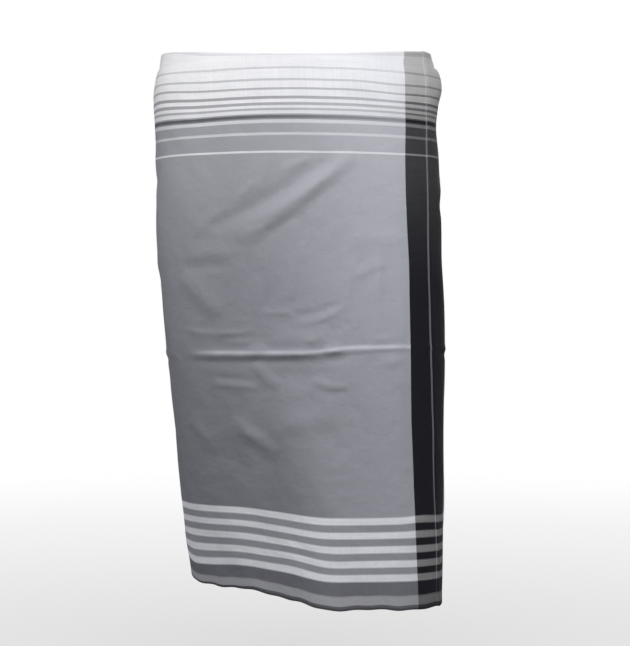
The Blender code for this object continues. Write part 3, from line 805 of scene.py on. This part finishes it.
def striped_cotton():
    """Plain-woven cotton: threads round the tube and threads down it, each black or white by its place."""
    n = Nodes("striped_cotton")
    uv = n.new("ShaderNodeUVMap", uv_map="threads").outputs[0]
    parts = n.new("ShaderNodeSeparateXYZ")
    n.feed(parts.inputs[0], uv)
    round_place, drop = parts.outputs[0], parts.outputs[1]

    # the threads wander a little
    def wandered(place, by):
        slow = n.noise(n.join(n.maths("MULTIPLY", round_place, by.pace_round),
                              n.maths("MULTIPLY", drop, by.pace_drop)), 1.0)
        return n.maths("ADD", place, n.maths("MULTIPLY", n.maths("SUBTRACT", slow, 0.5), by.reach))

    drop_seen = wandered(drop, WANDER_DROP)
    round_seen = wandered(round_place, WANDER_ROUND)

    # threads round the tube
    lower = n.maths("GREATER_THAN", drop, MIDDLE_DROP)

    def by_drop(column):
        waist = n.steps(drop_seen, [(row.drop, getattr(row, column)) for row in WAIST_THREADS], *WAIST_SPAN)
        hem = n.steps(drop_seen, [(row.drop, getattr(row, column)) for row in HEM_THREADS], *HEM_SPAN)
        return n.mix_number(lower, waist, hem)

    round_white, cover, band_cover = by_drop("white"), by_drop("cover"), by_drop("band_cover")
    fading = n.maths("MULTIPLY", n.rise(drop, *FADING_DROP), FADING)
    in_waist_border = n.maths("LESS_THAN", drop_seen, FADING_START)
    fading = n.maths("MULTIPLY", fading, n.maths("SUBTRACT", 1.0, in_waist_border))
    round_white = n.maths("MAXIMUM", round_white, fading)

    # threads down the tube: the side band is black, with a pale line at the seam
    skew = n.maths("MULTIPLY", n.rise(drop, *SKEW_UPPER), n.rise(drop, *SKEW_UPPER_END))
    skew = n.maths("MULTIPLY", n.maths("ADD", skew, n.rise(drop, *SKEW_LOWER)), SKEW)
    near_band = n.maths("LESS_THAN", n.maths("SUBTRACT", round_seen, skew), BAND_FRONT)
    far_band = n.maths("GREATER_THAN", round_seen, GIRTH - BAND_BACK)
    band = n.maths("MAXIMUM", near_band, far_band)
    from_line = n.maths("ABSOLUTE", n.maths("SUBTRACT", round_seen, PALE_PLACE))
    pale = n.maths("MULTIPLY", n.maths("LESS_THAN", from_line, PALE_LINE), PALE_SHARE)
    down_white = n.maths("MAXIMUM", n.maths("SUBTRACT", 1.0, band), pale)

    # painted shade: the field darkens away from the band, down the cloth and past a slanting edge, where the
    # cloth turns from the light
    back = n.rise(round_place, *PAINTED_SHADE_BACK)
    low = n.rise(drop, *PAINTED_SHADE_SLANT_DROP)
    side_shade = n.maths("MULTIPLY", n.maths("MULTIPLY", n.rise(round_place, *PAINTED_SHADE_ROUND), back), PAINTED_SHADE)
    low_shade = n.maths("MULTIPLY", n.maths("MULTIPLY", n.rise(round_place, *PAINTED_SHADE_LOW_ROUND), low), PAINTED_SHADE_LOW)
    edge_round, edge_drop, edge_slope = PAINTED_SHADE_SLANT_EDGE
    edge = n.maths("ADD", edge_round, n.maths("MULTIPLY", n.maths("SUBTRACT", drop, edge_drop), edge_slope))
    past_edge = n.rise(n.maths("SUBTRACT", round_place, edge), -PAINTED_SHADE_SLANT_SOFTNESS, PAINTED_SHADE_SLANT_SOFTNESS)
    past_left = n.maths("MULTIPLY", n.rise(round_place, *PAINTED_SHADE_SLANT_LEFT), LEFT_SHARE)
    slant_shade = n.maths("MULTIPLY", n.maths("MULTIPLY", past_edge, low), n.maths("MULTIPLY", back, PAINTED_SHADE_SLANT))
    slant_shade = n.maths("MULTIPLY", slant_shade, n.maths("SUBTRACT", 1.0, past_left))
    painted_shade = n.maths("ADD", n.maths("ADD", side_shade, low_shade), slant_shade)
    painted_shade = n.maths("MULTIPLY", painted_shade, n.rise(drop, *PAINTED_SHADE_END))

    # painted highlight and wear: the pressed crease is paler
    beside_band = n.rise(round_place, *WORN_HIGHLIGHT_ROUND)
    crease = n.mix_number(beside_band, *WORN_HIGHLIGHT_DROP)
    worn_highlight = n.rise(n.maths("ABSOLUTE", n.maths("SUBTRACT", drop, crease)), WORN_HIGHLIGHT_WIDTH, 0.0)
    patches = n.noise(n.join(n.maths("MULTIPLY", round_place, PATCH_PACE), 0.0, 5.0), 1.0)
    patchy = n.rise(patches, *PATCHY)
    worn_highlight = n.maths("MULTIPLY", n.maths("MULTIPLY", worn_highlight, patchy), n.rise(round_place, *WORN_HIGHLIGHT_LEFT))
    worn_highlight = n.maths("MULTIPLY", worn_highlight, WORN_HIGHLIGHT_SHARE)
    # painted shade darkens the field here, and the painted highlight with wear lightens the pressed crease
    cover = n.maths("ADD", cover, n.maths("SUBTRACT", painted_shade, worn_highlight))

    # which thread is on top: a fine plain weave
    turn = 2.0 * math.pi / WEAVE_PITCH
    over = n.maths("MULTIPLY", n.maths("SINE", n.maths("MULTIPLY", round_place, turn)),
                   n.maths("SINE", n.maths("MULTIPLY", drop, turn)))
    on_top = n.maths("ADD", n.mix_number(band, cover, band_cover), n.maths("MULTIPLY", over, WEAVE_SHOWS))

    # uneven yarn: streaks along each set of threads, and slow cloudiness
    round_streak = n.noise(n.join(n.maths("MULTIPLY", round_place, STREAK_LONG),
                                  n.maths("MULTIPLY", drop, STREAK_FINE)), 1.0, 3.0, 0.6)
    down_streak = n.noise(n.join(n.maths("MULTIPLY", round_place, STREAK_FINE),
                                 n.maths("MULTIPLY", drop, STREAK_LONG), 3.0), 1.0, 3.0, 0.6)
    cloudy = n.noise(n.join(round_place, drop, 7.0), CLOUD_PACE, 4.0, 0.55)
    uneven = n.maths("ADD", n.maths("MULTIPLY", n.maths("SUBTRACT", round_streak, 0.5), ROUND_UNEVEN),
                     n.maths("MULTIPLY", n.maths("SUBTRACT", down_streak, 0.5), DOWN_UNEVEN))
    uneven = n.maths("ADD", uneven, n.maths("MULTIPLY", n.maths("SUBTRACT", cloudy, 0.5), CLOUDY))
    on_top = n.maths("ADD", on_top, n.maths("MULTIPLY", uneven, 0.5))

    round_colour = n.mix_colour(round_white, (*ROUND_BLACK, 1.0), (*ROUND_WHITE, 1.0))
    down_colour = n.mix_colour(down_white, (*DOWN_BLACK, 1.0), (*DOWN_WHITE, 1.0))
    cloth = n.mix_colour(on_top, down_colour, round_colour)
    shade = n.maths("ADD", 1.0, uneven)
    cloth = n.mix_colour(1.0, cloth, n.join(shade, shade, shade), "MULTIPLY")
    n.feed(n.shader.inputs["Base Color"], cloth)

    # relief of the weave, the yarns and small rumples
    rumple = n.noise(n.join(round_place, drop, 2.0), RUMPLE_PACE, 3.0, 0.5)
    height = n.maths("MULTIPLY", over, WEAVE_RELIEF)
    for part, depth in ((round_streak, ROUND_RELIEF), (down_streak, DOWN_RELIEF), (rumple, RUMPLE_RELIEF)):
        height = n.maths("ADD", height, n.maths("MULTIPLY", part, depth))
    bump = n.new("ShaderNodeBump")
    bump.inputs["Strength"].default_value = 1.0
    bump.inputs["Distance"].default_value = 1.0
    n.feed(bump.inputs["Height"], height)
    n.feed(n.shader.inputs["Normal"], bump.outputs[0])

    n.shader.inputs["Roughness"].default_value = 0.86
    n.shader.inputs["Specular IOR Level"].default_value = 0.16
    n.shader.inputs["Sheen Weight"].default_value = 0.04
    n.shader.inputs["Sheen Roughness"].default_value = 0.50
    return n.material


def black_thread():
    """Sewing thread: black, with a twist along it."""
    n = Nodes("black_thread")
    place = n.new("ShaderNodeTexCoord").outputs["Object"]
    twist = n.noise(place, TWIST_PACE, 2.0)
    n.feed(n.shader.inputs["Base Color"], n.mix_colour(twist, THREAD_DARK, THREAD_PALE))
    n.shader.inputs["Roughness"].default_value = 0.62
    n.shader.inputs["Sheen Weight"].default_value = 0.08
    return n.material


def set_camera():
    """A nearly level look at the front from almost four metres, as in the photograph."""
    data = bpy.data.cameras.new("camera")
    data.sensor_fit = "HORIZONTAL"
    data.sensor_width = 36.0
    data.lens = LENS
    data.clip_start = 0.05
    data.clip_end = 60.0
    camera = bpy.data.objects.new("camera", data)
    camera.location = CAMERA_PLACE
    camera.rotation_euler = (math.radians(90.0 - CAMERA_PITCH), 0.0, 0.0)
    bpy.context.collection.objects.link(camera)
    bpy.context.scene.camera = camera


def add_light(box):
    """A square soft box that looks at a point."""
    data = bpy.data.lights.new(box.name, "AREA")
    data.shape = "SQUARE"
    data.size = box.size
    data.energy = box.power
    light = bpy.data.objects.new(box.name, data)
    light.location = box.place
    away = np.array(box.place) - np.array(box.aim)
    flat = math.hypot(away[0], away[1])
    light.rotation_euler = (math.atan2(flat, away[2]), 0.0, math.atan2(away[1], away[0]) + 0.5 * math.pi)
    bpy.context.collection.objects.link(light)


def paint_backdrop():
    """Paper that glows with painted light, pale grey underfoot and running out to white, and shows from its
    upper side only.
    """
    n = Nodes("paper_painted_glow")
    tree = n.tree
    tree.nodes.remove(n.shader)
    place = n.new("ShaderNodeTexCoord").outputs["Object"]
    flat = n.new("ShaderNodeVectorMath", operation="MULTIPLY")
    n.feed(flat.inputs[0], place)
    flat.inputs[1].default_value = (1.0, 1.0, 0.0)
    far = n.new("ShaderNodeVectorMath", operation="LENGTH")
    n.feed(far.inputs[0], flat.outputs[0])
    spread = n.new("ShaderNodeMapRange")
    n.feed(spread.inputs["Value"], far.outputs["Value"])
    spread.inputs["From Max"].default_value = PAPER_REACH
    ramp = n.new("ShaderNodeValToRGB")
    n.feed(ramp.inputs[0], spread.outputs[0])
    band = ramp.color_ramp
    for k, (radius, shade) in enumerate(PAPER_GLOW_SHADES):
        stop = band.elements[0] if k == 0 else band.elements.new(radius / PAPER_REACH)
        stop.position = radius / PAPER_REACH
        stop.color = (shade, shade, shade, 1.0)
    band.elements[-1].color = (1.0, 1.0, 1.0, 1.0)
    # painted light: the paper glows by itself, graded from pale grey underfoot to white
    glow = n.new("ShaderNodeEmission")
    n.feed(glow.inputs["Color"], ramp.outputs["Color"])
    clear = n.new("ShaderNodeBsdfTransparent")
    behind = n.new("ShaderNodeNewGeometry").outputs["Backfacing"]
    either = n.new("ShaderNodeMixShader")
    n.feed(either.inputs[0], behind)
    n.feed(either.inputs[1], glow.outputs[0])
    n.feed(either.inputs[2], clear.outputs[0])
    n.feed(tree.nodes["Material Output"].inputs["Surface"], either.outputs[0])
    return n.material


def raise_backdrop():
    """A round studio sweep: the floor curves up into the walls all round."""
    shape = bmesh.new()
    profile = [(radius, FLOOR) for radius in (0.0, 0.5, 1.0, 2.0, 3.5, 5.0, FLAT_RADIUS)]
    for k in range(1, BEND_STEPS + 1):
        angle = 0.5 * math.pi * k / BEND_STEPS
        profile.append((FLAT_RADIUS + BEND_RADIUS * math.sin(angle),
                        FLOOR + BEND_RADIUS * (1.0 - math.cos(angle))))
    profile += [(FLAT_RADIUS + BEND_RADIUS, FLOOR + height) for height in WALL_HEIGHTS]
    verts = [shape.verts.new((x, 0.0, z)) for x, z in profile]
    for a, b in zip(verts, verts[1:]):
        shape.edges.new((a, b))
    bmesh.ops.spin(shape, geom=shape.verts[:] + shape.edges[:], cent=(0, 0, 0), axis=(0, 0, 1),
                   angle=2.0 * math.pi, steps=SWEEP_STEPS, use_merge=True, use_duplicate=False)
    bmesh.ops.remove_doubles(shape, verts=shape.verts[:], dist=1e-5)
    bmesh.ops.recalc_face_normals(shape, faces=shape.faces[:])
    shape.faces.ensure_lookup_table()
    lowest = min(shape.faces, key=lambda face: face.calc_center_median().xy.length)
    if lowest.normal.z < 0.0:
        bmesh.ops.reverse_faces(shape, faces=shape.faces[:])
    mesh = bpy.data.meshes.new("backdrop")
    shape.to_mesh(mesh)
    shape.free()
    mesh.shade_smooth()
    mesh.materials.append(paint_backdrop())
    backdrop = bpy.data.objects.new("backdrop", mesh)
    bpy.context.collection.objects.link(backdrop)
    backdrop.visible_diffuse = False
    backdrop.visible_glossy = False
    backdrop.visible_shadow = False


def light_studio():
    """Soft light from above the camera, weaker ones from both sides and behind, and pale walls all round."""
    for box in SOFT_BOXES:
        add_light(box)
    world = bpy.context.scene.world or bpy.data.worlds.new("studio")
    bpy.context.scene.world = world
    world.use_nodes = True
    sky = world.node_tree.nodes["Background"]
    sky.inputs["Color"].default_value = SKY
    sky.inputs["Strength"].default_value = SKY_STRENGTH


bpy.context.scene.view_settings.view_transform = "Standard"
set_camera()
raise_backdrop()
light_studio()

cotton = striped_cotton()
cloth = hang_cloth(cotton)
seam_strip = fell_seam(cotton)
stitches = sew_seam(black_thread())

for stretch in ("front", "band", "back"):
    for border in ("waist_border", "upper_field", "lower_field", "hem_border"):
        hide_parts(stretch + "_" + border)
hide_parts("side_seam")
